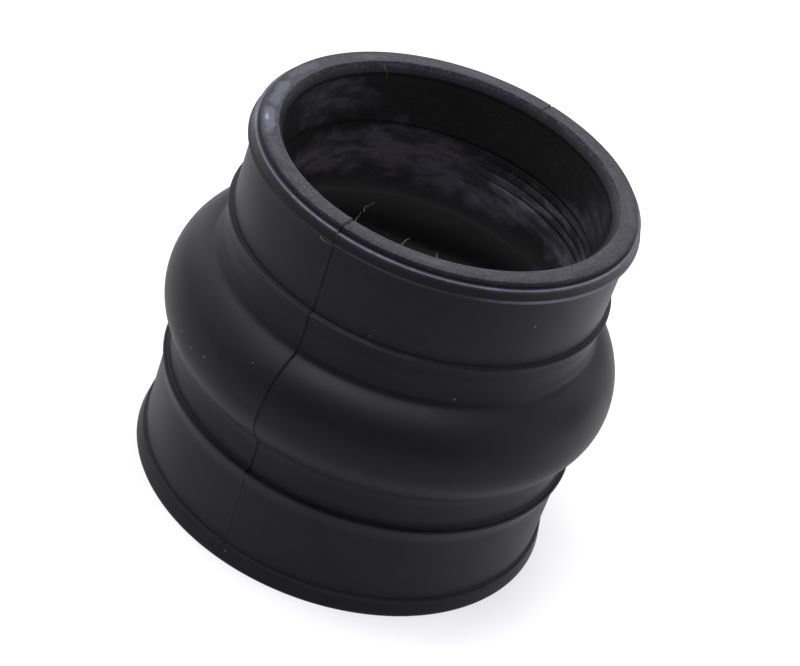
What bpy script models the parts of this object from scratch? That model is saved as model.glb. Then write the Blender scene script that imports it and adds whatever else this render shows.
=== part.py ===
"""Flexible rubber pipe coupling: one moulded sleeve, turned about Z, standing on its lower end.

The sleeve has an upper cuff, one round bulge that lets it flex, and a slightly larger lower cuff.
Each cuff has a clamp seat between an end lip and a ledge. All sizes are in metres.
"""

import math

import bmesh
import bpy

# Upper cuff
UPPER_BORE = 0.0638
UPPER_CUFF_WALL = 0.0050
UPPER_SEAT_LENGTH = 0.0157
UPPER_LIP_HEIGHT = 0.0033
UPPER_LIP_RISE = 0.00125
UPPER_LIP_DRAFT = 0.0007
RIM_STEP_HEIGHT = 0.0012
RIM_STEP_WIDTH = 0.00075
UPPER_LEDGE_RISE = 0.0011
UPPER_LEDGE_TAPER = 0.0036

# Neck between the upper cuff and the bulge
NECK_WALL = 0.0053
NECK_LENGTH = 0.0083

# Bulge
BULGE_RISE = 0.0078
BULGE_UPPER_RADIUS = 0.0124
BULGE_LOWER_RADIUS = 0.0098
BULGE_WALL = 0.0046
NECK_FILLET = 0.0010
COLLAR_FILLET = 0.0043
BORE_EDGE_RADIUS = 0.0050

# Collar between the bulge and the lower cuff
COLLAR_WALL = 0.0047
COLLAR_LENGTH = 0.0054

# Lower cuff
LOWER_BORE = 0.0720
LOWER_CUFF_WALL = 0.00495
LOWER_SEAT_LENGTH = 0.0183
LOWER_LEDGE_RISE = 0.0010
LOWER_LEDGE_TAPER = 0.0030
LOWER_LIP_HEIGHT = 0.0033
LOWER_LIP_RISE = 0.00065
LOWER_LIP_DRAFT = 0.0006

# Mouths and the fine sealing grooves in the upper bore
MOUTH_CHAMFER_WIDTH = 0.0012
MOUTH_CHAMFER_DEPTH = 0.0018
GROOVE_COUNT = 4
GROOVE_PITCH = 0.00200
GROOVE_WIDTH = 0.0008
GROOVE_DEPTH = 0.00035
FIRST_GROOVE_DEPTH = 0.0135

# Facets
TURN_STEPS = 72
BULGE_STEPS = 6
FILLET_STEPS = 3
MERGE_DISTANCE = 0.00001
SMOOTH_ANGLE = math.radians(24)

RUBBER_COLOUR = (0.020, 0.020, 0.023, 1.0)
RUBBER_ROUGHNESS = 0.48


def clear_scene():
    """Removes every object, so that the scene holds only the coupling."""
    for old in list(bpy.data.objects):
        bpy.data.objects.remove(old, do_unlink=True)


def arc(centre, radius, start, end, steps):
    """Points of a circular arc in the (radius, height) plane, both ends included."""
    points = []
    for i in range(steps + 1):
        angle = start + (end - start) * i / steps
        points.append((centre[0] + radius * math.cos(angle), centre[1] + radius * math.sin(angle)))
    return points


def bulge_side(crown, radius, wall_radius, fillet):
    """One side of the bulge, from its crown to the straight wall that it runs into.

    The arc of the bulge has its crown at height 0. The fillet touches the arc and the wall.
    Returns the arc's centre, the fillet's centre, and the angle of the point where they meet.
    """
    arc_centre = (crown - radius, 0.0)
    fillet_radius_from_axis = wall_radius + fillet
    across = fillet_radius_from_axis - arc_centre[0]
    along = math.sqrt((radius + fillet) ** 2 - across**2)
    return arc_centre, (fillet_radius_from_axis, along), math.atan2(along, across)


def raised(points, height):
    """The points moved up by height."""
    return [(r, z + height) for r, z in points]


def mirrored(points):
    """The points turned upside down about height 0, in reverse order."""
    return [(r, -z) for r, z in reversed(points)]


def upper_bulge_side(crown, radius, wall_radius, fillet):
    """Points from the straight wall above the bulge down to its crown."""
    centre, fillet_centre, angle = bulge_side(crown, radius, wall_radius, fillet)
    root = arc(fillet_centre, fillet, -math.pi, angle - math.pi, FILLET_STEPS)
    return root[:-1] + arc(centre, radius, angle, 0.0, BULGE_STEPS)


def lower_bulge_side(crown, radius, wall_radius, fillet):
    """Points from the crown down to the straight wall below the bulge."""
    return mirrored(upper_bulge_side(crown, radius, wall_radius, fillet))


def levels():
    """Heights of the sleeve's features above the face that it stands on."""
    neck = UPPER_BORE / 2 + NECK_WALL
    collar = LOWER_BORE / 2 + COLLAR_WALL
    crown = neck + BULGE_RISE
    reach_up = bulge_side(crown, BULGE_UPPER_RADIUS, neck, NECK_FILLET)[1][1]
    reach_down = bulge_side(crown, BULGE_LOWER_RADIUS, collar, COLLAR_FILLET)[1][1]
    lower_lip = LOWER_LIP_HEIGHT
    lower_ledge = lower_lip + LOWER_SEAT_LENGTH
    collar_top = lower_ledge + COLLAR_LENGTH
    crown_height = collar_top + reach_down
    neck_bottom = crown_height + reach_up
    upper_ledge = neck_bottom + NECK_LENGTH
    upper_lip = upper_ledge + UPPER_SEAT_LENGTH
    return {
        "lower_lip": lower_lip,
        "lower_ledge": lower_ledge,
        "crown": crown_height,
        "upper_ledge": upper_ledge,
        "upper_lip": upper_lip,
        "top": upper_lip + UPPER_LIP_HEIGHT,
    }


def upper_cuff_outside(level):
    """The stepped rim, the upper clamp seat and its ledge, from the top face down."""
    seat = UPPER_BORE / 2 + UPPER_CUFF_WALL
    neck = UPPER_BORE / 2 + NECK_WALL
    lip = seat + UPPER_LIP_RISE
    lip_top = lip - UPPER_LIP_DRAFT
    rim = lip_top - RIM_STEP_WIDTH
    return [
        (rim, level["top"]),
        (rim, level["top"] - RIM_STEP_HEIGHT),
        (lip_top, level["top"] - RIM_STEP_HEIGHT),
        (lip, level["upper_lip"]),
        (seat, level["upper_lip"]),
        (seat, level["upper_ledge"]),
        (seat + UPPER_LEDGE_RISE, level["upper_ledge"]),
        (neck, level["upper_ledge"] - UPPER_LEDGE_TAPER),
    ]


def bulge_outside(level):
    """The outer side of the neck, the bulge and the collar."""
    neck = UPPER_BORE / 2 + NECK_WALL
    collar = LOWER_BORE / 2 + COLLAR_WALL
    crown = neck + BULGE_RISE
    above = upper_bulge_side(crown, BULGE_UPPER_RADIUS, neck, NECK_FILLET)
    below = lower_bulge_side(crown, BULGE_LOWER_RADIUS, collar, COLLAR_FILLET)
    return raised(above + below[1:], level["crown"])


def lower_cuff_outside(level):
    """The lower ledge, the lower clamp seat and the end lip, down to the face it stands on."""
    seat = LOWER_BORE / 2 + LOWER_CUFF_WALL
    collar = LOWER_BORE / 2 + COLLAR_WALL
    lip_top = seat + LOWER_LIP_RISE
    return [
        (collar, level["lower_ledge"]),
        (seat + LOWER_LEDGE_RISE, level["lower_ledge"]),
        (seat, level["lower_ledge"] - LOWER_LEDGE_TAPER),
        (seat, level["lower_lip"]),
        (lip_top, level["lower_lip"]),
        (lip_top + LOWER_LIP_DRAFT, 0.0),
    ]


def lower_inside(level):
    """The lower mouth and bore and the lower half of the bulge's chamber, going up."""
    bore = LOWER_BORE / 2
    chamber = UPPER_BORE / 2 + NECK_WALL + BULGE_RISE - BULGE_WALL
    arc_radius = BULGE_LOWER_RADIUS - BULGE_WALL
    wall = lower_bulge_side(chamber, arc_radius, bore, BORE_EDGE_RADIUS)
    mouth = [(bore + MOUTH_CHAMFER_WIDTH, 0.0), (bore, MOUTH_CHAMFER_DEPTH)]
    return mouth + list(reversed(raised(wall, level["crown"])))


def groove(bore, height):
    """One fine groove in the bore, going up."""
    return [
        (bore, height - GROOVE_WIDTH / 2),
        (bore + GROOVE_DEPTH, height),
        (bore, height + GROOVE_WIDTH / 2),
    ]


def upper_inside(level):
    """The upper half of the chamber, then the upper bore with its grooves and its mouth, going up."""
    bore = UPPER_BORE / 2
    chamber = UPPER_BORE / 2 + NECK_WALL + BULGE_RISE - BULGE_WALL
    arc_radius = BULGE_UPPER_RADIUS - BULGE_WALL
    wall = upper_bulge_side(chamber, arc_radius, bore, BORE_EDGE_RADIUS)
    points = list(reversed(raised(wall, level["crown"])))[1:]
    for i in reversed(range(GROOVE_COUNT)):
        points += groove(bore, level["top"] - FIRST_GROOVE_DEPTH - i * GROOVE_PITCH)
    points.append((bore, level["top"] - MOUTH_CHAMFER_DEPTH))
    points.append((bore + MOUTH_CHAMFER_WIDTH, level["top"]))
    return points


def sleeve_profile():
    """The closed section of the wall: down the outside, then up the inside."""
    level = levels()
    outside = upper_cuff_outside(level) + bulge_outside(level) + lower_cuff_outside(level)
    return outside + lower_inside(level) + upper_inside(level)


def rubber():
    """Matt black moulded rubber."""
    material = bpy.data.materials.new("black_rubber")
    material.use_nodes = True
    shader = material.node_tree.nodes["Principled BSDF"]
    shader.inputs["Base Color"].default_value = RUBBER_COLOUR
    shader.inputs["Roughness"].default_value = RUBBER_ROUGHNESS
    shader.inputs["Metallic"].default_value = 0.0
    return material


def section_object(name, profile):
    """The closed section as a mesh of edges, ready to be turned about Z."""
    mesh = bpy.data.meshes.new(name)
    section = bmesh.new()
    corners = [section.verts.new((r, 0.0, z)) for r, z in profile]
    for first, second in zip(corners, corners[1:] + corners[:1]):
        section.edges.new((first, second))
    section.to_mesh(mesh)
    section.free()
    return bpy.data.objects.new(name, mesh)


def turned(name, profile, material, collection):
    """An object turned about Z from a closed profile of (radius, height) points."""
    section = section_object(name + "_section", profile)
    collection.objects.link(section)
    screw = section.modifiers.new("Turn", "SCREW")
    screw.axis = "Z"
    screw.angle = math.tau
    screw.steps = TURN_STEPS
    screw.render_steps = TURN_STEPS
    screw.use_merge_vertices = True
    screw.merge_threshold = MERGE_DISTANCE
    bpy.context.view_layer.update()
    evaluated = section.evaluated_get(bpy.context.evaluated_depsgraph_get())
    mesh = bpy.data.meshes.new_from_object(evaluated)
    bpy.data.objects.remove(section, do_unlink=True)
    mesh.name = name
    mesh.shade_smooth()
    mesh.set_sharp_from_angle(angle=SMOOTH_ANGLE)
    mesh.materials.append(material)
    sleeve = bpy.data.objects.new(name, mesh)
    collection.objects.link(sleeve)
    return sleeve


def main():
    clear_scene()
    parts = bpy.data.collections.new("pipe_coupling")
    bpy.context.scene.collection.children.link(parts)
    turned("coupling_sleeve", sleeve_profile(), rubber(), parts)


main()
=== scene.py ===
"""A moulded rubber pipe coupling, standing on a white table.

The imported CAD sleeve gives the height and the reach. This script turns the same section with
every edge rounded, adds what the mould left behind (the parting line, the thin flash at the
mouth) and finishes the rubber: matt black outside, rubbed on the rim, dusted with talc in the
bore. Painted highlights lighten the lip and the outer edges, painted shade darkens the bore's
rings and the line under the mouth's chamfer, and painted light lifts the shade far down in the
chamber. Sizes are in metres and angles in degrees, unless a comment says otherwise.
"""

import math

import bmesh
import bpy
from mathutils import Matrix, Vector, noise


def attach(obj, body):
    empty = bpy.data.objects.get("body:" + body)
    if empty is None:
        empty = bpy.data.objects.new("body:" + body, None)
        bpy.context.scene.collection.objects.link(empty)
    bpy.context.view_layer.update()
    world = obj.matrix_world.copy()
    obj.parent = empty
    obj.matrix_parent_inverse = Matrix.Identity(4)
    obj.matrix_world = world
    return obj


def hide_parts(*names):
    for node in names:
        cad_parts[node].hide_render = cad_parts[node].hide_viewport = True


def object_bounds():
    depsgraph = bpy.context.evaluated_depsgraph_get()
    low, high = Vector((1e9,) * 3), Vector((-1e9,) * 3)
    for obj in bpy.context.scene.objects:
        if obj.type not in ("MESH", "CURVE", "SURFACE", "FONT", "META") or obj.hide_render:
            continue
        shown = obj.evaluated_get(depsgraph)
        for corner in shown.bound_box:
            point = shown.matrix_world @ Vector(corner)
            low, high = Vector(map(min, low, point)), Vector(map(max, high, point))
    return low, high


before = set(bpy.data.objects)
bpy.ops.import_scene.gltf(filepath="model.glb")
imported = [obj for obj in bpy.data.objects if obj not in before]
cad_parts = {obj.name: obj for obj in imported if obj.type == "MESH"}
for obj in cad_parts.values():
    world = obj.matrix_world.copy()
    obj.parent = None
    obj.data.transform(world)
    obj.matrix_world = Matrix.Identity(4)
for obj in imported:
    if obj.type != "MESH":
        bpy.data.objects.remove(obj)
CAD_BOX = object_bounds()

MM = 0.001

# The sleeve's section, as the CAD part has it
NODE = "coupling_sleeve"
TOP = CAD_BOX[1].z
UPPER_BORE = 31.9 * MM
UPPER_SEAT = 36.9 * MM
UPPER_LIP = 38.15 * MM
UPPER_LIP_TOP = 37.45 * MM
RIM_EDGE = 36.5 * MM
RIM_STEP = 1.27 * MM
RIM_STEP_LEAN = 0.05 * MM
LIP_CREST_RISE = 0.20 * MM
LIP_CREST_OUT = 0.08 * MM
UPPER_LIP_HEIGHT = 3.3 * MM
LIP_BEAD_RISE = 0.36 * MM
LIP_BEAD_DROP = 0.32 * MM
LIP_BEAD_SHIFT = 0.13 * MM
LIP_BEAD_OUT = 0.04 * MM
LIP_BEAD_IN = 0.05 * MM
UPPER_SEAT_LENGTH = 15.7 * MM
UPPER_LEDGE = 38.0 * MM
UPPER_LEDGE_TAPER = 3.6 * MM
NECK = 37.2 * MM
CROWN = 45.0 * MM
BULGE_UPPER_RADIUS = 12.4 * MM
BULGE_LOWER_RADIUS = 9.8 * MM
BULGE_WALL = 4.6 * MM
NECK_FILLET = 2.6 * MM
COLLAR_FILLET = 4.3 * MM
COLLAR = 40.7 * MM
COLLAR_LENGTH = 5.4 * MM
LOWER_SEAT = 40.95 * MM
LOWER_SEAT_LENGTH = 18.3 * MM
LOWER_LEDGE = 41.95 * MM
LOWER_LEDGE_TAPER = 3.0 * MM
LOWER_LIP_TOP = 41.6 * MM
LOWER_LIP = 42.2 * MM
LOWER_LIP_HEIGHT = 3.3 * MM
LOWER_BORE = 36.0 * MM
BORE_EDGE_RADIUS = 5.0 * MM
MOUTH_CHAMFER_WIDTH = 1.2 * MM
MOUTH_CHAMFER_DEPTH = 1.8 * MM
GROOVE_COUNT = 4
GROOVE_PITCH = 2.0 * MM
GROOVE_WIDTH = 0.8 * MM
GROOVE_DEPTH = 0.35 * MM
FIRST_GROOVE_DEPTH = 13.5 * MM
GROOVES_END = FIRST_GROOVE_DEPTH + GROOVE_COUNT * GROOVE_PITCH
LOWER_LEDGE_LEVEL = LOWER_LIP_HEIGHT + LOWER_SEAT_LENGTH

# How the mesh follows it
COLUMNS = 360
LONGEST_STEP = 2.3 * MM
CORNER_STEPS = 4
FINE_CORNER = 0.2 * MM
FINE_CORNER_STEPS = 2
BULGE_UPPER_STEPS = 24
BULGE_LOWER_STEPS = 16
FILLET_STEPS = 7
CORNER_SHARE = 0.48

# The mould's two parting lines: where each is, and its depth as a share of the front one's
FRONT_LINE = -112.45
BACK_LINE = 66.4
PARTING_LINES = ((FRONT_LINE, 1.0), (BACK_LINE, 0.7))
LINE_DEPTH = 0.22 * MM
LINE_WIDTH = 0.17 * MM
LINE_LIP = 0.05 * MM
LINE_LIP_AWAY = 0.38 * MM
LINE_REACH = 2.0 * MM
LINE_WANDER = 0.12 * MM
LINE_FINE_WANDER = 0.5
LINE_WANDER_SCALE = 180.0
LINE_FINE_WANDER_SCALE = 700.0
LINE_UNEVENNESS = 0.45
LINE_UNEVEN_SCALE = 260.0
LOWER_CUFF_LINE = 0.55
LOWER_CUFF_MARGIN = 0.1 * MM
LINE_COLUMNS = (0.0, 0.10, 0.19, 0.28, 0.38, 0.55, 0.80)
LINE_COLUMNS_MARGIN = 0.2

# How much lower the right half of the mould sat, how far round and up to what height it shows
HALF_DROP = 0.13 * MM
HALF_DROP_TURN = 200.0
HALF_DROP_FADE = 8.0 * MM

# The unevenness of the wall: its depths, its scales and where it fades to nothing
SWAY = 0.055 * MM
FINE_SWAY = 0.012 * MM
SWAY_AROUND = 2.1
SWAY_UPWARD = 26.0
FINE_SWAY_SCALE = 5.0
SWAY_FOOT_FADE = 6.0 * MM
SWAY_TOP_FADE = 3.0 * MM

# The skins of the sleeve, as its material slots count them
OUTSIDE, RIM, BORE = 0, 1, 2

# Slivers of flash: each its thickness in mm, then (turn, radius, depth below the face) along it
FLASH = (
    (0.17, (
        (-111.3, 33.3, 0.12), (-112.6, 32.2, 0.02), (-112.2, 31.2, 0.14), (-113.6, 29.9, 0.08),
    )),
    (0.20, (
        (-112.9, 29.3, 0.1), (-114.8, 28.2, -0.02), (-114.0, 26.4, 0.16), (-114.9, 24.7, 0.3),
    )),
    (0.16, ((-95.7, 33.4, 0.12), (-95.1, 32.4, 0.04), (-95.2, 31.0, 0.1), (-94.2, 29.9, 0.2))),
    (0.15, ((-84.0, 33.3, 0.12), (-84.3, 32.3, 0.06), (-84.1, 31.5, 0.14))),
    (0.18, ((125.2, 33.2, 0.1), (125.3, 32.4, 1.0), (123.6, 31.8, 2.0), (123.4, 31.65, 3.3))),
    (0.18, ((136.0, 31.85, 4.0), (136.9, 31.7, 4.6), (137.0, 31.85, 5.1))),
    (0.14, ((139.0, 31.85, 14.3), (139.3, 31.7, 15.3), (139.0, 31.85, 16.6))),
    (0.24, (
        (-116.4, 38.25, 3.5), (-115.2, 38.4, 3.65), (-113.9, 38.35, 3.55), (-112.7, 38.25, 3.6),
    )),
)
SLIVER_TAPER = 0.75
FLASH_MERGE = 0.001 * MM

# Edges rubbed paler and painted lighter as highlights: height (for the lip's crest, radius), half
# width, how broken, how pale
LIP_CREST_WORN_HIGHLIGHT = (
    (37.22 * MM, 0.45 * MM, 0.40, 0.22),
)
OUTSIDE_WORN_HIGHLIGHTS = (
    (TOP - 3.42 * MM, 0.26 * MM, 0.6, 0.025),
    (57.42 * MM, 0.26 * MM, 0.7, 0.035),
    (21.35 * MM, 0.45 * MM, 0.8, 0.016),
    (3.05 * MM, 0.35 * MM, 0.7, 0.020),
    (0.35 * MM, 0.35 * MM, 0.6, 0.030),
)
LIP_BEAD_WORN_HIGHLIGHT = (
    (TOP - 3.40 * MM, 0.36 * MM, 0.30, 0.25),
)

# The lip's bead is painted lighter on the right, as a highlight where more light falls: the middle
# of that stretch and half its turn
RIGHT_LIP_HIGHLIGHT = (-28.0, 46.0)

# Talc smudged on the mouth's face: turn, radius, half turn, half width and how thick it lies.
# The lengths here and in the bore's talc are in mm.
RIM_SMUDGES = (
    (-167.5, 35.4, 2.0, 0.45, 0.36),
    (-166.0, 35.0, 11.0, 1.5, 0.14),
    (178.0, 34.8, 14.0, 1.5, 0.12),
    (158.0, 35.1, 12.0, 1.4, 0.09),
    (128.0, 34.6, 8.0, 1.2, 0.07),
    (92.0, 35.0, 12.0, 1.2, 0.05),
    (-150.0, 35.0, 9.0, 1.1, 0.06),
    (-86.0, 34.6, 7.0, 0.9, 0.06),
    (10.0, 35.0, 12.0, 1.2, 0.05),
)

# Talc in the bore: turn, height, half turn, half height and how thick it lies
BORE_TALC = (
    (146.0, 69.5, 20.0, 6.0, 0.11),
    (142.0, 72.0, 10.0, 3.0, 0.09),
    (136.0, 56.0, 24.0, 5.6, 0.17),
    (112.0, 57.5, 20.0, 7.5, 0.16),
    (92.0, 56.5, 18.0, 7.5, 0.16),
    (72.0, 55.0, 20.0, 6.0, 0.20),
    (54.0, 56.5, 18.0, 5.6, 0.24),
    (38.0, 56.5, 18.0, 5.6, 0.25),
    (24.0, 57.0, 14.0, 5.6, 0.20),
    (30.0, 63.0, 16.0, 3.0, 0.10),
    (20.0, 68.0, 14.0, 8.0, 0.06),
)

# Where the fine rings in the bore get painted shade: the middle of that stretch and half its turn.
# Beyond it talc fills them. A shade mark's reach and core are shares of a ring's width.
GROOVES_SEEN = (25.0, 35.0)
GROOVE_FILL_START = 0.7
FIRST_GROOVE_FILL = 0.35
MARK_REACH = 0.75
FIRST_MARK_REACH = 1.3
MARK_CORE = 0.2

# The painted light far down in the chamber and the painted shade line under the mouth's chamfer, by
# depth
CHAMBER_LIGHT_DEPTH = 25.0 * MM
CHAMBER_LIGHT_FADE = 10.0 * MM
CHAMFER_SHADE_DEPTH = 2.2 * MM
CHAMFER_SHADE_EDGES = (0.5 * MM, 0.1 * MM)

# Colours of the rubber, the talc, the flash, and the bore's painted shade and painted light
RUBBER_NEUTRAL = (0.0064, 0.0063, 0.0070)
RUBBER_BLUE = (0.0073, 0.0069, 0.0097)
BORE_BLACK = (0.0135, 0.0135, 0.0135)
BORE_GREY = (0.0212, 0.0212, 0.0212)
# Painted shade, for the bore's rings and the line under the mouth's chamfer
PAINTED_SHADE = (0.0050, 0.0050, 0.0052)
# Painted light that lifts the shade far down in the chamber
CHAMBER_PAINTED_LIGHT = (0.120, 0.120, 0.120)
BORE_SPECULAR = 0.10
# The talc's colour, also the pale of the painted highlights on the edges
TALC_AND_HIGHLIGHT = (0.42, 0.41, 0.54)
BORE_DUST = (0.47, 0.43, 0.55)
FLASH_DARK = (0.030, 0.029, 0.026)
FLASH_PALE = (0.12, 0.113, 0.098)
RUBBER_SPECULAR = 0.141

# Roughness, from the smoothest places of each finish to its roughest
BLACK_ROUGHNESS = (0.46, 0.53)
RIM_ROUGHNESS = (0.39, 0.59)
BORE_ROUGHNESS = (0.62, 0.85)
FLASH_ROUGHNESS = (0.55, 0.70)

# The grain: its depth, how much coarser and shallower its ripple is, and where its tone turns
GRAIN_DEPTH = 0.05 * MM
RIPPLE_COARSENESS = 9.0
RIPPLE_DEPTH = 0.8
TONE_FADE = (0.3, 0.7)

# Where a dust patch and a rubbed edge's painted highlight start and are full, as shares of their
# half size
PATCH_FADE = (1.15, 0.35)
EDGE_FADE = (1.0, 0.25)

# What breaks up a rubbed edge and its painted highlight: the shares of the long noise and the close
# one, and where it turns
LONG_BREAKS = 0.65
CLOSE_BREAKS = 0.35
BREAK_FADE = (0.60, 0.40)

# How much each effect shows, from 0 to 1
HAZE_LEVEL = 0.006
SPECK_LEVEL = 0.35
RUBBED_LEVEL = 0.05
GRIT_LEVEL = 0.05
CHAMBER_LIGHT_LEVEL = 0.7
GROOVE_SHADE_LEVEL = 0.75

# The rubbing of the mouth's face starts at the first depth and is full at the second
FACE_FADE = (1.5 * MM, 0.3 * MM)

# The two colours among a Mix node's inputs, and the mixed one among its outputs
MIX_COLOURS = (6, 7)
MIX_RESULT = 2

# The soft boxes, 1 m from the sleeve: azimuth, elevation, diameter in metres and brightness
SOFTBOXES = {
    "zenith_softbox": (-100.0, 83.0, 0.45, 8.0),
    "high_left_softbox": (176.0, 69.0, 0.36, 7.0),
    "high_back_softbox": (90.0, 72.0, 0.45, 5.4),
    "over_left_softbox": (-150.0, 68.0, 0.40, 7.4),
    "over_right_softbox": (-30.0, 68.0, 0.40, 6.6),
    "back_softbox": (90.0, 32.0, 0.60, 3.4),
    "back_left_softbox": (135.0, 30.0, 0.50, 2.8),
    "high_back_left_softbox": (150.0, 52.0, 0.50, 4.1),
    "back_right_softbox": (45.0, 30.0, 0.50, 2.9),
    "left_softbox": (180.0, 28.0, 0.50, 2.3),
    "right_softbox": (0.0, 28.0, 0.50, 1.9),
    "low_left_softbox": (180.0, 8.0, 0.28, 0.8),
    "low_right_softbox": (0.0, 8.0, 0.28, 4.2),
    "low_back_left_softbox": (135.0, 8.0, 0.28, 5.2),
    "low_back_right_softbox": (45.0, 8.0, 0.28, 2.1),
}
SOFTBOX_DISTANCE = 1.0
SOFTBOX_AIM_HEIGHT = 0.04
ROOM_LIGHT = 0.08

# The elevation above which a soft box has this slightly violet tint
HIGH_SOFTBOXES = 60.0
HIGH_TINT = (1.0, 0.985, 1.10)

# The table: its own white, its glow, and what is added to the glow on the right and far away
TABLE_RADIUS = 6.0
TABLE_WHITE = 0.40
TABLE_GLOW = 0.55
TABLE_RIGHT_GLOW = 0.50
TABLE_RIGHTWARD = (0.77, 0.64)
RIGHT_GLOW_FADE = (0.06, 0.20)
TABLE_FAR_GLOW = 0.45
FAR_GLOW_FADE = (0.4, 1.4)

# The photograph's camera
CAMERA_ELEVATION = 34.4529
CAMERA_ROLL = 20.0838
CAMERA_DISTANCE = 494.15 * MM
CAMERA_ACROSS = 1.117 * MM
CAMERA_ABOVE = -2.459 * MM
AIM_BELOW_TOP = 38.0 * MM
LENS = 114.75
CLIP_START = 0.05
CLIP_END = 20.0


def arc(centre, radius, start, end, steps):
    """Points of an arc in the (radius, height) plane, both ends included. Angles are in radians."""
    points = []
    for i in range(steps + 1):
        angle = start + (end - start) * i / steps
        points.append((centre[0] + radius * math.cos(angle), centre[1] + radius * math.sin(angle)))
    return points


def plain(points):
    """Outline points that need no rounding."""
    return [(r, z, 0.0) for r, z in points]


def bulge_side(crown, radius, wall, fillet, steps):
    """From the straight wall above a bulge down to its crown, which is at height 0."""
    centre = crown - radius
    fillet_centre = wall + fillet
    across = fillet_centre - centre
    along = math.sqrt((radius + fillet) ** 2 - across**2)
    angle = math.atan2(along, across)
    root = arc((fillet_centre, along), fillet, -math.pi, angle - math.pi, FILLET_STEPS)
    return root[:-1] + arc((centre, 0.0), radius, angle, 0.0, steps)


def raised(points, height):
    """The points moved up by height."""
    return [(r, z + height) for r, z in points]


def flipped(points):
    """The points turned upside down about height 0, in reverse order."""
    return [(r, -z) for r, z in reversed(points)]


def crown_height():
    """Height of the bulge's crown above the table."""
    across = COLLAR + COLLAR_FILLET - (CROWN - BULGE_LOWER_RADIUS)
    reach = math.sqrt((BULGE_LOWER_RADIUS + COLLAR_FILLET) ** 2 - across**2)
    return LOWER_LEDGE_LEVEL + COLLAR_LENGTH + reach


def rim_steps():
    """The outer edge of the mouth's face, the step below it and the top of the lip."""
    return [
        (RIM_EDGE, TOP, 0.16 * MM),
        (RIM_EDGE - RIM_STEP_LEAN, TOP - RIM_STEP, 0.16 * MM),
        (UPPER_LIP_TOP + LIP_CREST_OUT, TOP - RIM_STEP + LIP_CREST_RISE, 0.50 * MM),
    ]


def outer_walls(crown):
    """The outer outline from the upper lip's lower edge down to the table."""
    lip_low = TOP - UPPER_LIP_HEIGHT
    ledge = lip_low - UPPER_SEAT_LENGTH
    bead_low = lip_low - LIP_BEAD_DROP
    upper_cuff = [
        (UPPER_LIP - LIP_BEAD_RISE, lip_low + LIP_BEAD_RISE - LIP_BEAD_SHIFT, 0.35 * MM),
        (UPPER_LIP + LIP_BEAD_OUT, lip_low - LIP_BEAD_SHIFT, 0.18 * MM),
        (UPPER_LIP - LIP_BEAD_IN, bead_low, 0.14 * MM),
        (UPPER_SEAT, bead_low, 0.5 * MM),
        (UPPER_SEAT, ledge, 0.14 * MM),
        (UPPER_LEDGE, ledge, 0.30 * MM),
        (NECK, ledge - UPPER_LEDGE_TAPER, 9.0 * MM),
    ]
    above = bulge_side(CROWN, BULGE_UPPER_RADIUS, NECK, NECK_FILLET, BULGE_UPPER_STEPS)
    below = flipped(bulge_side(CROWN, BULGE_LOWER_RADIUS, COLLAR, COLLAR_FILLET, BULGE_LOWER_STEPS))
    lower_cuff = [
        (COLLAR, LOWER_LEDGE_LEVEL, 0.95 * MM),
        (LOWER_LEDGE, LOWER_LEDGE_LEVEL, 0.6 * MM),
        (LOWER_SEAT, LOWER_LEDGE_LEVEL - LOWER_LEDGE_TAPER, 6.0 * MM),
        (LOWER_SEAT, LOWER_LIP_HEIGHT, 0.6 * MM),
        (LOWER_LIP_TOP, LOWER_LIP_HEIGHT, 0.5 * MM),
        (LOWER_LIP, 0.0, 0.3 * MM),
    ]
    return upper_cuff + plain(raised(above + below[1:], crown)) + lower_cuff


def groove(height):
    """One of the fine rings in the upper bore, going up."""
    side = GROOVE_WIDTH / 2
    return [
        (UPPER_BORE, height - side, 0.12 * MM),
        (UPPER_BORE + GROOVE_DEPTH, height, 0.08 * MM),
        (UPPER_BORE, height + side, 0.12 * MM),
    ]


def bore_walls(crown):
    """The inner outline from the table up to the foot of the upper mouth's chamfer."""
    chamber = CROWN - BULGE_WALL
    upper_arc = BULGE_UPPER_RADIUS - BULGE_WALL
    lower_arc = BULGE_LOWER_RADIUS - BULGE_WALL
    lower_steps = BULGE_LOWER_STEPS // 2
    upper_steps = BULGE_UPPER_STEPS // 2
    below = flipped(bulge_side(chamber, lower_arc, LOWER_BORE, BORE_EDGE_RADIUS, lower_steps))
    above = bulge_side(chamber, upper_arc, UPPER_BORE, BORE_EDGE_RADIUS, upper_steps)
    points = [
        (LOWER_BORE + MOUTH_CHAMFER_WIDTH, 0.0, 0.2 * MM),
        (LOWER_BORE, MOUTH_CHAMFER_DEPTH, 0.4 * MM),
    ]
    points += plain(reversed(raised(above + below[1:], crown)))
    for i in reversed(range(GROOVE_COUNT)):
        points += groove(TOP - FIRST_GROOVE_DEPTH - i * GROOVE_PITCH)
    return points


def mouth():
    """The upper mouth's chamfer, up to the face's inner edge."""
    return [
        (UPPER_BORE, TOP - MOUTH_CHAMFER_DEPTH, 0.35 * MM),
        (UPPER_BORE + MOUTH_CHAMFER_WIDTH, TOP, 0.2 * MM),
    ]


def section():
    """The wall's closed outline: down the outside, then up the bore.

    Each corner is (radius, height, rounding), and each has its skin.
    """
    crown = crown_height()
    outline = [(corner, RIM) for corner in rim_steps()]
    outline += [(corner, OUTSIDE) for corner in outer_walls(crown)]
    outline += [(corner, BORE) for corner in bore_walls(crown)]
    outline += [(corner, RIM) for corner in mouth()]
    return outline


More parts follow.
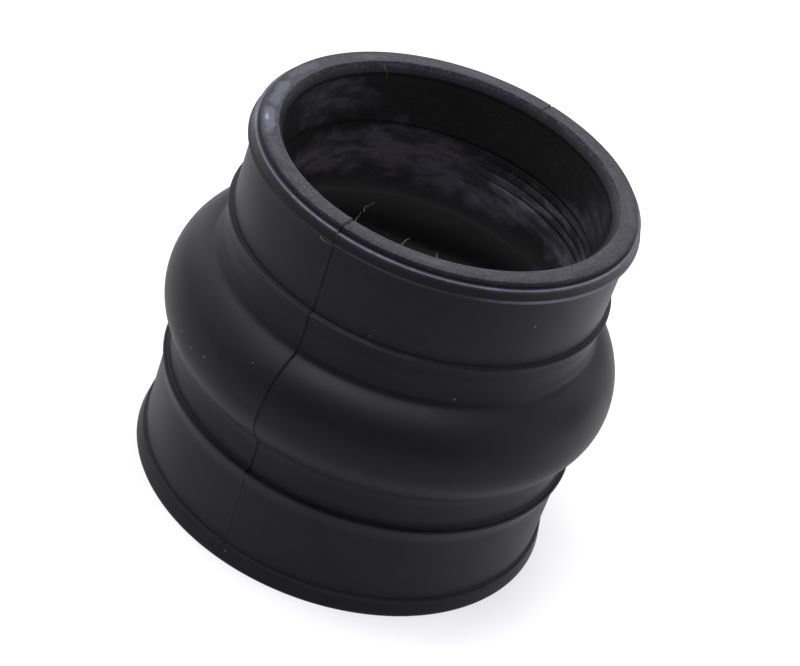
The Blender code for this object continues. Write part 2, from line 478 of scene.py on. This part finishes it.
def rounded(outline):
    """The outline's points, with each corner turned into an arc that touches both of its sides."""
    points = []
    for i, ((r, z, rounding), skin) in enumerate(outline):
        here = Vector((r, z))
        if not rounding:
            points.append((here, skin))
            continue
        to_last = Vector(outline[i - 1][0][:2]) - here
        to_next = Vector(outline[(i + 1) % len(outline)][0][:2]) - here
        half = to_last.angle(to_next) / 2
        shortest = min(to_last.length, to_next.length)
        reach = min(rounding / math.tan(half), shortest * CORNER_SHARE)
        start = here + to_last.normalized() * reach
        end = here + to_next.normalized() * reach
        steps = FINE_CORNER_STEPS if rounding < FINE_CORNER else CORNER_STEPS
        for k in range(steps + 1):
            share = k / steps
            points.append((start.lerp(here, share).lerp(here.lerp(end, share), share), skin))
    return points


def divided(points):
    """The outline's points, with long straight runs cut into steps."""
    finer = []
    for (here, skin), (following, _) in zip(points, points[1:] + points[:1]):
        pieces = max(1, math.ceil((following - here).length / LONGEST_STEP))
        finer += [(here.lerp(following, k / pieces), skin) for k in range(pieces)]
    return finer


def columns():
    """The angles of the mesh's columns, closer together at the parting lines."""
    angles = {-180.0 + 360.0 * i / COLUMNS for i in range(COLUMNS)}
    for line, _ in PARTING_LINES:
        angles = {a for a in angles if abs(a - line) > LINE_COLUMNS[-1] + LINE_COLUMNS_MARGIN}
        for away in LINE_COLUMNS:
            angles.update((line + away, line - away))
    return sorted(angles)


def turn_between(angle, line):
    """Degrees from the parting line to the angle, from -180 to 180."""
    return (angle - line + 180.0) % 360.0 - 180.0


def parting_height(angle, radius, height_here, along):
    """How far the rubber stands out (or in, if negative) near a parting line."""
    height = 0.0
    for line, depth in PARTING_LINES:
        coarse = noise.noise(Vector((along * LINE_WANDER_SCALE, line, 0.0)))
        fine = noise.noise(Vector((along * LINE_FINE_WANDER_SCALE, line, 4.0)))
        wander = coarse * LINE_WANDER + fine * LINE_WANDER * LINE_FINE_WANDER
        away = math.radians(turn_between(angle, line)) * radius - wander
        if abs(away) > LINE_REACH:
            continue
        swell = noise.noise(Vector((along * LINE_UNEVEN_SCALE, line, 9.0)))
        uneven = 1.0 + LINE_UNEVENNESS * swell
        if radius > LOWER_SEAT - LOWER_CUFF_MARGIN and height_here < LOWER_LEDGE_LEVEL:
            uneven *= LOWER_CUFF_LINE
        cut = math.exp(-((away / LINE_WIDTH) ** 2))
        lip = math.exp(-(((abs(away) - LINE_LIP_AWAY) / LINE_WIDTH) ** 2))
        height += depth * uneven * (LINE_LIP * lip - LINE_DEPTH * cut)
    return height


def half_drop(angle):
    """How much lower the right half of the mould sat, greatest at the front parting line."""
    turn = turn_between(angle, FRONT_LINE) % 360.0
    if turn > 180.0:
        return 0.0
    return HALF_DROP * (1.0 - turn / HALF_DROP_TURN)


def sway(direction, height):
    """The slight unevenness of a rubber wall that has been handled and stored."""
    share = min(1.0, height / SWAY_FOOT_FADE, (TOP - height) / SWAY_TOP_FADE)
    place = direction * SWAY_AROUND + Vector((0.0, 0.0, height * SWAY_UPWARD))
    fine = noise.noise(place * FINE_SWAY_SCALE)
    return share * (SWAY * noise.noise(place) + FINE_SWAY * fine)


def parting_share(point, skin):
    """How much of the parting line shows: all of it outside, none in the bore or on the foot."""
    if skin == BORE:
        return 0.0
    return min(1.0, (point.x - UPPER_BORE) / MOUTH_CHAMFER_WIDTH, point.y / MM)


def outward(points, i):
    """The outline's normal at point i, away from the rubber. The outline goes down its outside."""
    step = points[(i + 1) % len(points)] - points[i - 1]
    return Vector((-step.y, step.x)).normalized()


def groove_fill(angle, point, skin):
    """How much of a ring in the bore the talc has filled at this angle. The first stays open."""
    if skin != BORE or point.x > UPPER_BORE + GROOVE_DEPTH or point.y < TOP - GROOVES_END:
        return 0.0
    away = abs(turn_between(angle, GROOVES_SEEN[0])) / GROOVES_SEEN[1]
    filled = min(1.0, max(0.0, away - GROOVE_FILL_START))
    if point.y > TOP - FIRST_GROOVE_DEPTH - GROOVE_WIDTH:
        filled *= FIRST_GROOVE_FILL
    return filled * (point.x - UPPER_BORE)


def column_of_vertices(angle, rows):
    """One column of the sleeve's mesh, at this angle."""
    turn = math.radians(angle)
    direction = Vector((math.cos(turn), math.sin(turn), 0.0))
    drop = half_drop(angle)
    vertices = []
    for point, skin, normal, share, along in rows:
        lift = sway(direction, point.y) + share * parting_height(angle, point.x, point.y, along)
        place = point + normal * lift - Vector((groove_fill(angle, point, skin), 0.0))
        height = place.y - share * drop * min(1.0, point.y / HALF_DROP_FADE)
        vertices.append(direction * place.x + Vector((0.0, 0.0, height)))
    return vertices


def wrap_over(mesh, angles, lengths):
    """A flat map of the skin for the bake: round the sleeve across, along the outline up."""
    edges_across = [(angle + 180.0) / 360.0 for angle in angles]
    edges_across.append(1.0 + (angles[0] + 180.0) / 360.0)
    edges_up = [length / lengths[-1] for length in lengths]
    corners = []
    for left, right in zip(edges_across, edges_across[1:]):
        for low, high in zip(edges_up, edges_up[1:]):
            corners += [left, low, left, high, right, high, right, low]
    mesh.uv_layers.new(name="OFBake").uv.foreach_set("vector", corners)


def turned_mesh(name, outline):
    """The sleeve's mesh, with the parting lines, the mould's shift and the uneven walls."""
    points = [point for point, skin in outline]
    lengths = [0.0]
    for here, following in zip(points, points[1:] + points[:1]):
        lengths.append(lengths[-1] + (following - here).length)
    rows = []
    for i, (point, skin) in enumerate(outline):
        rows.append((point, skin, outward(points, i), parting_share(point, skin), lengths[i]))
    angles = columns()
    vertices = []
    for angle in angles:
        vertices += column_of_vertices(angle, rows)
    faces = []
    skins = []
    count = len(outline)
    for column in range(len(angles)):
        here, after = column * count, ((column + 1) % len(angles)) * count
        for row, (point, skin) in enumerate(outline):
            below = (row + 1) % count
            faces.append((here + row, here + below, after + below, after + row))
            skins.append(skin)
    mesh = bpy.data.meshes.new(name)
    mesh.from_pydata(vertices, [], faces)
    mesh.polygons.foreach_set("material_index", skins)
    mesh.shade_smooth()
    wrap_over(mesh, angles, lengths)
    return mesh


def new_object(name, data):
    """An object in the scene for a mesh, a curve, a light or a camera."""
    made = bpy.data.objects.new(name, data)
    bpy.context.scene.collection.objects.link(made)
    return made


def sleeve():
    """The whole sleeve: one moulded piece, with a finish for each of its skins."""
    made = new_object("moulded_sleeve", turned_mesh("moulded_sleeve", divided(rounded(section()))))
    finishes = {OUTSIDE: moulded_rubber(), RIM: rubbed_rim(), BORE: dusted_bore()}
    for skin in sorted(finishes):
        made.data.materials.append(finishes[skin])
    return made


def at(turn, radius, depth):
    """The point at this angle and radius, this far below the mouth's face. Lengths are in mm."""
    angle = math.radians(turn)
    return Vector((math.cos(angle) * radius * MM, math.sin(angle) * radius * MM, TOP - depth * MM))


def sliver(points, thickness):
    """A thin curved sliver of flash that tapers to its end, as a mesh."""
    curve = bpy.data.curves.new("sliver", "CURVE")
    curve.dimensions = "3D"
    curve.bevel_depth = thickness / 2
    curve.bevel_resolution = 1
    curve.resolution_u = 6
    curve.use_fill_caps = True
    spline = curve.splines.new("NURBS")
    spline.points.add(len(points) - 1)
    for i, (place, point) in enumerate(zip(points, spline.points)):
        point.co = (*place, 1.0)
        point.radius = 1.0 - SLIVER_TAPER * i / (len(points) - 1)
    spline.use_endpoint_u = True
    spline.order_u = 3
    holder = new_object("sliver", curve)
    evaluated = holder.evaluated_get(bpy.context.evaluated_depsgraph_get())
    mesh = bpy.data.meshes.new_from_object(evaluated)
    bpy.data.objects.remove(holder, do_unlink=True)
    return mesh


def mould_flash():
    """The slivers of flash that the mould left at the mouth and under the upper lip."""
    joined = bmesh.new()
    for thickness, points in FLASH:
        joined.from_mesh(sliver([at(*point) for point in points], thickness * MM))
    bmesh.ops.remove_doubles(joined, verts=joined.verts, dist=FLASH_MERGE)
    mesh = bpy.data.meshes.new("mould_flash")
    joined.to_mesh(mesh)
    joined.free()
    mesh.shade_smooth()
    mesh.materials.append(flash_film())
    return new_object("mould_flash", mesh)


def fill(tree, node, inputs):
    """Gives each of these inputs of the node a plain value or another node's output."""
    for key, value in inputs.items():
        if isinstance(value, bpy.types.NodeSocket):
            tree.links.new(value, node.inputs[key])
        else:
            node.inputs[key].default_value = value
    return node


def put(tree, kind, inputs=None, **settings):
    """A new node in the tree, with its settings and its inputs."""
    node = tree.nodes.new("ShaderNode" + kind)
    for name, value in settings.items():
        setattr(node, name, value)
    return fill(tree, node, inputs or {})


def calc(tree, operation, *values):
    """The result of a Math node."""
    return put(tree, "Math", dict(enumerate(values)), operation=operation).outputs[0]


def strongest(tree, masks):
    """The greatest of several masks at each point."""
    whole = masks[0]
    for mask in masks[1:]:
        whole = calc(tree, "MAXIMUM", whole, mask)
    return whole


def away_from(tree, value, centre):
    """How far the value is from the centre, to either side."""
    return calc(tree, "ABSOLUTE", calc(tree, "SUBTRACT", value, centre))


def length(tree, vector):
    """The vector's length."""
    return put(tree, "VectorMath", {0: vector}, operation="LENGTH").outputs["Value"]


def fade(tree, value, start, end):
    """0 where the value is at start and 1 where it is at end, with soft ends."""
    limits = {"Value": value, "From Min": start, "From Max": end}
    return put(tree, "MapRange", limits, interpolation_type="SMOOTHSTEP").outputs[0]


def between(tree, share, low, high):
    """From low to high as the share goes from 0 to 1."""
    return put(tree, "MapRange", {"Value": share, "To Min": low, "To Max": high}).outputs[0]


def cloudy(tree, place, scale, detail=2.0, roughness=0.5):
    """Noise at this scale, with this much detail."""
    look = {"Vector": place, "Scale": scale, "Detail": detail, "Roughness": roughness}
    return put(tree, "TexNoise", look).outputs["Fac"]


def tinted(tree, share, first, second):
    """The first colour, turning to the second as the share goes from 0 to 1."""
    inputs = {"Factor": share}
    for socket, colour in zip(MIX_COLOURS, (first, second)):
        linked = isinstance(colour, bpy.types.NodeSocket)
        inputs[socket] = colour if linked else (*colour, 1.0)
    return put(tree, "Mix", inputs, data_type="RGBA").outputs[MIX_RESULT]


def object_place(tree):
    """The point's own coordinates on the piece."""
    return put(tree, "TexCoord").outputs["Object"]


def split(tree, vector):
    """The vector's x, y and z."""
    return put(tree, "SeparateXYZ", {"Vector": vector}).outputs


def new_group(name, inputs, outputs):
    """An empty node group with number sockets. Gives its tree, its inputs and its outputs."""
    tree = bpy.data.node_groups.new(name, "ShaderNodeTree")
    number = "NodeSocketFloat"
    for label, value in inputs.items():
        socket = tree.interface.new_socket(name=label, in_out="INPUT", socket_type=number)
        socket.default_value = value
    for label in outputs:
        tree.interface.new_socket(name=label, in_out="OUTPUT", socket_type=number)
    given = tree.nodes.new("NodeGroupInput").outputs
    results = tree.nodes.new("NodeGroupOutput").inputs
    return tree, given, results


def placed(tree, group, **inputs):
    """The group in a material, with this material's values. A name's underscores are spaces."""
    node = tree.nodes.new("ShaderNodeGroup")
    node.node_tree = GROUPS[group]
    spaced = {name.replace("_", " "): value for name, value in inputs.items()}
    return fill(tree, node, spaced).outputs


def ring_place_group():
    """Where a point is on the sleeve: its turn in degrees, its radius and its height."""
    tree, _, results = new_group("ring_place", {}, ("Turn", "Radius", "Height"))
    x, y, z = split(tree, object_place(tree))
    turn = calc(tree, "MULTIPLY", calc(tree, "ARCTAN2", y, x), 180.0 / math.pi)
    radius = length(tree, put(tree, "CombineXYZ", {"X": x, "Y": y}).outputs[0])
    for result, value in zip(results, (turn, radius, z)):
        tree.links.new(value, result)
    return tree


def ring_streaks_group():
    """Streaks that run round the sleeve, so many to a turn and so many to a metre across."""
    inputs = {"Around": 6.0, "Across": 900.0, "Seed": 0.0}
    tree, given, results = new_group("ring_streaks", inputs, ("Streak",))
    x, y, z = split(tree, object_place(tree))
    flat = put(tree, "CombineXYZ", {"X": x, "Y": y}).outputs[0]
    direction = put(tree, "VectorMath", {0: flat}, operation="NORMALIZE").outputs[0]
    stretched = {0: direction, "Scale": given["Around"]}
    around = put(tree, "VectorMath", stretched, operation="SCALE").outputs[0]
    across = calc(tree, "MULTIPLY", calc(tree, "ADD", length(tree, flat), z), given["Across"])
    lifted = put(tree, "CombineXYZ", {"Z": calc(tree, "ADD", across, given["Seed"])}).outputs[0]
    both = put(tree, "VectorMath", {0: around, 1: lifted}, operation="ADD").outputs[0]
    streak = cloudy(tree, both, 1.0, detail=5.0, roughness=0.62)
    tree.links.new(streak, results["Streak"])
    return tree


def surface_grain_group():
    """The fine grain of a moulded rubber skin, and the slow change of tone across it."""
    inputs = {"Fine": 2600.0, "Coarse": 55.0}
    tree, given, results = new_group("surface_grain", inputs, ("Height", "Tone"))
    place = object_place(tree)
    fine = cloudy(tree, place, given["Fine"], detail=3.0)
    ripple = cloudy(tree, place, calc(tree, "DIVIDE", given["Fine"], RIPPLE_COARSENESS))
    coarse = cloudy(tree, place, given["Coarse"], detail=3.0)
    height = calc(tree, "ADD", fine, calc(tree, "MULTIPLY", ripple, RIPPLE_DEPTH))
    tree.links.new(height, results["Height"])
    tree.links.new(fade(tree, coarse, *TONE_FADE), results["Tone"])
    return tree


def dust_patch_group():
    """A ragged patch at one place on the sleeve, so wide round it and so far across."""
    inputs = {"Turn": 0.0, "Across": 0.0, "Centre Turn": 0.0, "Centre Across": 0.0}
    inputs.update({"Half Turn": 10.0, "Half Across": 0.002, "Ragged": 1.0, "Fineness": 420.0})
    tree, given, results = new_group("dust_patch", inputs, ("Mask",))
    turn = calc(tree, "SUBTRACT", given["Turn"], given["Centre Turn"])
    wrapped = calc(tree, "FLOORED_MODULO", calc(tree, "ADD", turn, 180.0), 360.0)
    wrapped = calc(tree, "SUBTRACT", wrapped, 180.0)
    across = calc(tree, "SUBTRACT", given["Across"], given["Centre Across"])
    reach = put(tree, "CombineXYZ", {
        "X": calc(tree, "DIVIDE", wrapped, given["Half Turn"]),
        "Y": calc(tree, "DIVIDE", across, given["Half Across"]),
    })
    edge = cloudy(tree, object_place(tree), given["Fineness"], detail=4.0)
    ragged = calc(tree, "MULTIPLY", calc(tree, "SUBTRACT", edge, 0.5), given["Ragged"])
    away = calc(tree, "ADD", length(tree, reach.outputs[0]), ragged)
    tree.links.new(fade(tree, away, *PATCH_FADE), results["Mask"])
    return tree


def specks_group():
    """A few small specks: so many cells to a metre, and the share of them that hold one."""
    inputs = {"Scale": 400.0, "Share": 0.05, "Size": 0.12}
    tree, given, results = new_group("specks", inputs, ("Mask",))
    cells = put(tree, "TexVoronoi", {"Vector": object_place(tree), "Scale": given["Scale"]})
    chance = put(tree, "SeparateColor", {"Color": cells.outputs["Color"]}).outputs[0]
    held = calc(tree, "LESS_THAN", chance, given["Share"])
    near = calc(tree, "LESS_THAN", cells.outputs["Distance"], given["Size"])
    tree.links.new(calc(tree, "MULTIPLY", held, near), results["Mask"])
    return tree


def worn_edge_highlight_group():
    """An edge that runs round the sleeve at one height, rubbed paler and painted lighter as a
    highlight, in broken stretches.
    """
    inputs = {"Height": 0.0, "Centre": 0.0, "Half Width": 0.0003, "Broken": 0.5}
    tree, given, results = new_group("worn_edge_highlight", inputs, ("Mask",))
    away = away_from(tree, given["Height"], given["Centre"])
    near = fade(tree, calc(tree, "DIVIDE", away, given["Half Width"]), *EDGE_FADE)
    place = object_place(tree)
    long_way = calc(tree, "MULTIPLY", cloudy(tree, place, 62.0), LONG_BREAKS)
    close = calc(tree, "MULTIPLY", cloudy(tree, place, 900.0, detail=3.0), CLOSE_BREAKS)
    broken = fade(tree, calc(tree, "ADD", long_way, close), *BREAK_FADE)
    kept = calc(tree, "SUBTRACT", 1.0, calc(tree, "MULTIPLY", broken, given["Broken"]))
    tree.links.new(calc(tree, "MULTIPLY", near, kept), results["Mask"])
    return tree


GROUPS = {
    "ring_place": ring_place_group(),
    "ring_streaks": ring_streaks_group(),
    "surface_grain": surface_grain_group(),
    "dust_patch": dust_patch_group(),
    "specks": specks_group(),
    "worn_edge_highlight": worn_edge_highlight_group(),
}


def new_material(name, specular):
    """A material with its tree, its Principled shader and its rubber skin's grain."""
    material = bpy.data.materials.new(name)
    material.use_nodes = True
    tree = material.node_tree
    shader = tree.nodes["Principled BSDF"]
    shader.inputs["Specular IOR Level"].default_value = specular
    return material, tree, shader, placed(tree, "surface_grain")


def finished(tree, shader, colour, roughness, height, bump):
    """Joins the colour, the roughness and the bump to the shader."""
    tree.links.new(colour, shader.inputs["Base Color"])
    tree.links.new(roughness, shader.inputs["Roughness"])
    skin = put(tree, "Bump", {"Height": height, "Strength": bump, "Distance": GRAIN_DEPTH})
    tree.links.new(skin.outputs[0], shader.inputs["Normal"])


def plain_rubber(tree, grain):
    """The rubber's own black, neutral in places and a little blue in others."""
    return tinted(tree, grain["Tone"], RUBBER_NEUTRAL, RUBBER_BLUE)


def streaks(tree, around, across, seed):
    """Streaks that run round the sleeve, with this material's values."""
    return placed(tree, "ring_streaks", Around=around, Across=across, Seed=seed)["Streak"]


def worn_edge_highlights(tree, height, table):
    """The strongest of several rubbed edges with painted highlights, each (height, half width, how
    broken, level).
    """
    masks = []
    for centre, half, broken, level in table:
        edge = {"Height": height, "Centre": centre, "Half_Width": half, "Broken": broken}
        mask = placed(tree, "worn_edge_highlight", **edge)["Mask"]
        masks.append(calc(tree, "MULTIPLY", mask, level))
    return strongest(tree, masks)


def patch(tree, place, centre, half, ragged, fineness=420.0):
    """One dust patch. The place, the centre and the half size are each (turn, across)."""
    values = {"Turn": place[0], "Across": place[1], "Ragged": ragged, "Fineness": fineness}
    values.update({"Centre_Turn": centre[0], "Centre_Across": centre[1]})
    values.update({"Half_Turn": half[0], "Half_Across": half[1]})
    return placed(tree, "dust_patch", **values)["Mask"]


def patches(tree, place, table, ragged, fineness):
    """The strongest of several dust patches, each (turn, across, half turn, half across, level)."""
    masks = []
    for turn, across, half_turn, half_across, level in table:
        half = (half_turn, half_across * MM)
        mask = patch(tree, place, (turn, across * MM), half, ragged, fineness)
        masks.append(calc(tree, "MULTIPLY", mask, level))
    return strongest(tree, masks)


def stretch(tree, turn, where):
    """1 in one stretch of the turn and 0 elsewhere. Where is its middle and half its turn."""
    return patch(tree, (turn, 0.0), (where[0], 0.0), (where[1], 1.0), ragged=0.0)


def moulded_rubber():
    """Matt black rubber as it leaves the mould, with rubbed edges painted lighter as highlights and
    a few specks of dust.
    """
    material, tree, shader, grain = new_material("moulded_rubber", RUBBER_SPECULAR)
    place = placed(tree, "ring_place")
    # Painted highlights, with some rubbing, along the outer edges, and on the lip's bead on the
    # right only
    worn_highlights = worn_edge_highlights(tree, place["Height"], OUTSIDE_WORN_HIGHLIGHTS)
    bead = worn_edge_highlights(tree, place["Height"], LIP_BEAD_WORN_HIGHLIGHT)
    bead = calc(tree, "MULTIPLY", bead, stretch(tree, place["Turn"], RIGHT_LIP_HIGHLIGHT))
    dust = placed(tree, "specks", Scale=330.0, Share=0.045, Size=0.07)["Mask"]
    dust = calc(tree, "MULTIPLY", dust, SPECK_LEVEL)
    haze = fade(tree, streaks(tree, around=5.0, across=420.0, seed=3.0), 0.45, 0.8)
    haze = calc(tree, "MULTIPLY", haze, HAZE_LEVEL)
    black = tinted(tree, haze, plain_rubber(tree, grain), TALC_AND_HIGHLIGHT)
    colour = tinted(tree, strongest(tree, (worn_highlights, bead, dust)), black, TALC_AND_HIGHLIGHT)
    roughness = between(tree, grain["Tone"], *BLACK_ROUGHNESS)
    finished(tree, shader, colour, roughness, grain["Height"], bump=0.35)
    return material


def rubbed_rim():
    """The mouth's face: rubbed grey by handling, with talc smudged on it and a painted highlight
    along the lip's crest.
    """
    material, tree, shader, grain = new_material("rubbed_rim", RUBBER_SPECULAR)
    place = placed(tree, "ring_place")
    face = fade(tree, place["Height"], TOP - FACE_FADE[0], TOP - FACE_FADE[1])
    point = object_place(tree)
    mottle = cloudy(tree, point, 420.0, detail=5.0)
    streak = fade(tree, streaks(tree, around=9.0, across=1500.0, seed=11.0), 0.35, 0.7)
    rubbed = calc(tree, "MULTIPLY", streak, fade(tree, mottle, 0.3, 0.65))
    rubbed = calc(tree, "MULTIPLY", rubbed, RUBBED_LEVEL)
    grit = fade(tree, cloudy(tree, point, 2300.0), 0.40, 0.70)
    grit = calc(tree, "MULTIPLY", grit, GRIT_LEVEL)
    rubbed = calc(tree, "MULTIPLY", calc(tree, "ADD", rubbed, grit), face)
    # Painted highlight, with some rubbing, along the lip's crest
    crest = worn_edge_highlights(tree, place["Radius"], LIP_CREST_WORN_HIGHLIGHT)
    around = (place["Turn"], place["Radius"])
    smudge = patches(tree, around, RIM_SMUDGES, ragged=2.0, fineness=460.0)
    smudge = calc(tree, "MULTIPLY", smudge, face)
    smudge = calc(tree, "MULTIPLY", smudge, between(tree, mottle, 0.45, 1.45))
    pale = strongest(tree, (rubbed, crest, smudge))
    colour = tinted(tree, pale, plain_rubber(tree, grain), TALC_AND_HIGHLIGHT)
    roughness = between(tree, mottle, *RIM_ROUGHNESS)
    finished(tree, shader, colour, roughness, grain["Height"], bump=0.5)
    return material


def groove_shade_marks(tree, place):
    """Masks of the painted shade in the bore's rings: all of them on the right, only the first on
    the left.
    """
    first = TOP - FIRST_GROOVE_DEPTH
    right = stretch(tree, place["Turn"], GROOVES_SEEN)
    shade_marks = []
    for i in range(GROOVE_COUNT):
        away = away_from(tree, place["Height"], first - i * GROOVE_PITCH)
        reach = MARK_REACH if i else FIRST_MARK_REACH
        mark = fade(tree, away, GROOVE_WIDTH * reach, GROOVE_WIDTH * MARK_CORE)
        shade_marks.append(calc(tree, "MULTIPLY", mark, right) if i else mark)
    return shade_marks


def dusted_bore():
    """The bore, with talc left on it in streaks and patches, painted light that grows further down
    the chamber, and painted shade in its rings and under the chamfer.
    """
    material, tree, shader, grain = new_material("dusted_bore", BORE_SPECULAR)
    place = placed(tree, "ring_place")
    wide = fade(tree, streaks(tree, around=3.2, across=330.0, seed=5.0), 0.36, 0.58)
    fine = streaks(tree, around=16.0, across=1300.0, seed=8.0)
    broken = between(tree, wide, 0.20, 0.95)
    broken = calc(tree, "MULTIPLY", broken, between(tree, fine, 0.35, 1.5))
    around = (place["Turn"], place["Height"])
    talc = patches(tree, around, BORE_TALC, ragged=1.2, fineness=260.0)
    dusted = calc(tree, "MULTIPLY", talc, broken)
    # Painted light: paler further down the chamber, lifting its shade
    chamber = TOP - CHAMBER_LIGHT_DEPTH
    chamber_light = fade(tree, place["Height"], chamber, chamber - CHAMBER_LIGHT_FADE)
    chamber_light = calc(tree, "MULTIPLY", chamber_light, CHAMBER_LIGHT_LEVEL)
    black = tinted(tree, fade(tree, fine, 0.4, 0.8), BORE_BLACK, BORE_GREY)
    colour = tinted(tree, dusted, tinted(tree, chamber_light, black, CHAMBER_PAINTED_LIGHT), BORE_DUST)
    # Painted shade: a dark line under the chamfer and dark marks in the rings
    under_chamfer = away_from(tree, place["Height"], TOP - CHAMFER_SHADE_DEPTH)
    line = fade(tree, under_chamfer, *CHAMFER_SHADE_EDGES)
    shade_marks = strongest(tree, (*groove_shade_marks(tree, place), line))
    shade_marks = calc(tree, "MULTIPLY", shade_marks, GROOVE_SHADE_LEVEL)
    colour = tinted(tree, shade_marks, colour, PAINTED_SHADE)
    roughness = between(tree, dusted, *BORE_ROUGHNESS)
    finished(tree, shader, colour, roughness, grain["Height"], bump=0.4)
    return material


def flash_film():
    """The pale, thin film of flash, dusty with talc."""
    material, tree, shader, grain = new_material("flash_film", RUBBER_SPECULAR)
    colour = tinted(tree, grain["Tone"], FLASH_DARK, FLASH_PALE)
    roughness = between(tree, grain["Tone"], *FLASH_ROUGHNESS)
    finished(tree, shader, colour, roughness, grain["Height"], bump=0.2)
    return material


def table_glow(tree):
    """The table's glow: more on the right and far away, and none in the light on the sleeve."""
    ray = put(tree, "LightPath").outputs
    rays = ("Is Camera Ray", "Is Glossy Ray", "Is Transmission Ray")
    seen = strongest(tree, [ray[kind] for kind in rays])
    place = object_place(tree)
    x, y, _ = split(tree, place)
    rightward = calc(tree, "MULTIPLY", x, TABLE_RIGHTWARD[0])
    rightward = calc(tree, "ADD", rightward, calc(tree, "MULTIPLY", y, TABLE_RIGHTWARD[1]))
    right = calc(tree, "MULTIPLY", fade(tree, rightward, *RIGHT_GLOW_FADE), TABLE_RIGHT_GLOW)
    far = fade(tree, length(tree, place), *FAR_GLOW_FADE)
    far = calc(tree, "MULTIPLY", far, TABLE_FAR_GLOW)
    glow = calc(tree, "ADD", calc(tree, "MAXIMUM", right, far), TABLE_GLOW)
    return calc(tree, "MULTIPLY", seen, glow)


def table():
    """A wide white table top. It glows a little for the camera, so that it photographs white."""
    bpy.ops.mesh.primitive_circle_add(vertices=64, radius=TABLE_RADIUS, fill_type="NGON")
    top = bpy.context.object
    top.name = "table_top"
    material = bpy.data.materials.new("white_table")
    material.use_nodes = True
    tree = material.node_tree
    shader = tree.nodes["Principled BSDF"]
    shader.inputs["Base Color"].default_value = (TABLE_WHITE, TABLE_WHITE, TABLE_WHITE, 1.0)
    shader.inputs["Roughness"].default_value = 1.0
    shader.inputs["Specular IOR Level"].default_value = 0.0
    shader.inputs["Emission Color"].default_value = (1.0, 1.0, 1.0, 1.0)
    tree.links.new(table_glow(tree), shader.inputs["Emission Strength"])
    top.data.materials.append(material)
    return top


def softbox(name, azimuth, elevation, diameter, brightness):
    """A round soft box, facing the sleeve."""
    data = bpy.data.lights.new(name, "AREA")
    data.shape = "DISK"
    data.size = diameter
    if elevation > HIGH_SOFTBOXES:
        data.color = HIGH_TINT
    # A disk's power in watts, from its brightness and its area
    data.energy = brightness * math.pi * math.pi * diameter**2 / 4
    turn, rise = math.radians(azimuth), math.radians(elevation)
    level = math.cos(rise)
    back = Vector((math.cos(turn) * level, math.sin(turn) * level, math.sin(rise)))
    made = new_object(name, data)
    made.location = Vector((0.0, 0.0, SOFTBOX_AIM_HEIGHT)) + back * SOFTBOX_DISTANCE
    made.rotation_mode = "QUATERNION"
    made.rotation_quaternion = back.to_track_quat("Z", "Y")
    return made


def studio():
    """The room's own light and the soft boxes."""
    world = bpy.data.worlds.new("studio")
    bpy.context.scene.world = world
    world.use_nodes = True
    background = world.node_tree.nodes["Background"].inputs
    background["Color"].default_value = (1.0, 1.0, 1.0, 1.0)
    background["Strength"].default_value = ROOM_LIGHT
    for name, box in SOFTBOXES.items():
        softbox(name, *box)


def photo_camera():
    """The camera of the photograph, rolled about its own axis."""
    elevation, roll = math.radians(CAMERA_ELEVATION), math.radians(CAMERA_ROLL)
    back = Vector((0.0, -math.cos(elevation), math.sin(elevation)))
    level = Vector((1.0, 0.0, 0.0))
    upright = back.cross(level)
    right = level * math.cos(roll) + upright * math.sin(roll)
    up = upright * math.cos(roll) - level * math.sin(roll)
    data = bpy.data.cameras.new("photo_camera")
    data.lens = LENS
    data.clip_start, data.clip_end = CLIP_START, CLIP_END
    camera = new_object("photo_camera", data)
    aim = Vector((0.0, 0.0, TOP - AIM_BELOW_TOP))
    place = aim + right * CAMERA_ACROSS + up * CAMERA_ABOVE + back * CAMERA_DISTANCE
    turned = Matrix((right, up, back)).transposed().to_4x4()
    camera.matrix_world = Matrix.Translation(place) @ turned
    bpy.context.scene.camera = camera


photo_camera()
studio()
table()
for piece in (sleeve(), mould_flash()):
    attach(piece, "root")
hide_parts(NODE)
bpy.context.scene.view_settings.view_transform = "Standard"
